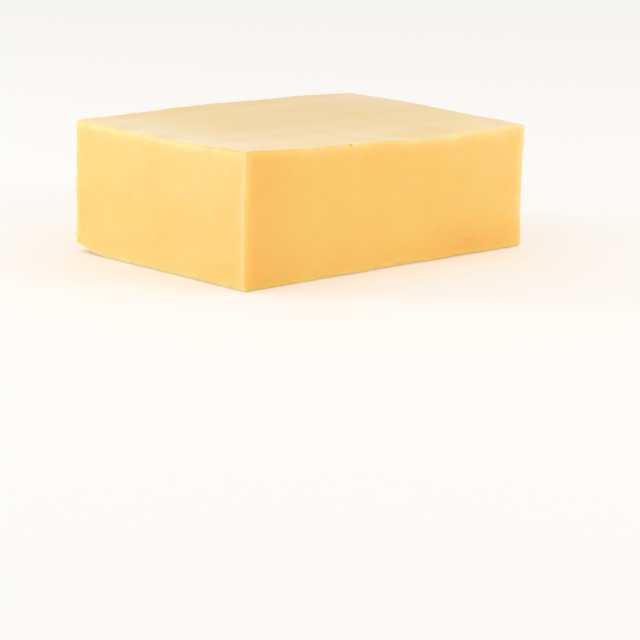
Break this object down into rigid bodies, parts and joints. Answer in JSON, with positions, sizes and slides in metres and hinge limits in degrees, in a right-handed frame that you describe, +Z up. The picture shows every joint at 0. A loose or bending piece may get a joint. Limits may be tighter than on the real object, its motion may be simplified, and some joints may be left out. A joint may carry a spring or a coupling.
{
  "type": "cheddar block",
  "caption": "Pale yellow block of cheddar cheese, a cuboid a little out of square with soft edges, bowed cut faces and a worn lower corner.",
  "frame": {"origin": "middle of the underside, on the surface that the block lies on", "axes": "+X along the long side, +Y across to the back, +Z up through the block's thickness"},
  "size_m": [0.1332, 0.088, 0.0468],
  "materials": {
    "cheddar": "pale yellow cheddar cheese cut by wire: waxy and satin, light bleeds through the edges"
  },
  "bodies": {
    "root": {"cheddar_block": "cheddar"}
  },
  "joints": []
}
